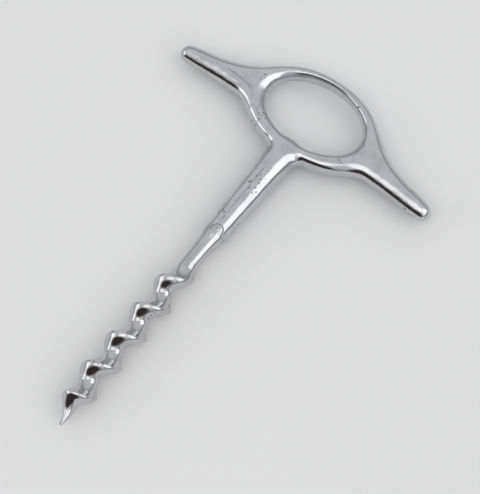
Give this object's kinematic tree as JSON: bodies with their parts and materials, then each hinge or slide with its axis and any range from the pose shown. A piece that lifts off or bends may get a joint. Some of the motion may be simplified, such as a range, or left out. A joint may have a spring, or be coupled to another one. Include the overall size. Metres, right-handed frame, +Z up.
{
  "type": "direct pull corkscrew",
  "caption": "Direct-pull corkscrew: a cast oval finger-ring handle with drooping wings and a tapered stem that holds a right-hand bladed steel worm.",
  "frame": {"origin": "centre of the bottom of the bounding box: the corkscrew lies flat, under the middle of its length", "axes": "+Y along the worm's axis from the point towards the ring handle, +X along the wings, +Z up, square to the handle's flat side"},
  "size_m": [0.0876, 0.1244, 0.0095],
  "materials": {
    "plated_casting": "old bright chrome plating over a casting, softly polished, with fine scratches and small pits",
    "plated_key": "rough dull chrome plating",
    "plated_steel": "bright plated steel, worn along the blade's edge"
  },
  "bodies": {
    "root": {"handle_casting": "plated_casting", "lock_key": "plated_key", "worm": "plated_steel"}
  },
  "joints": []
}
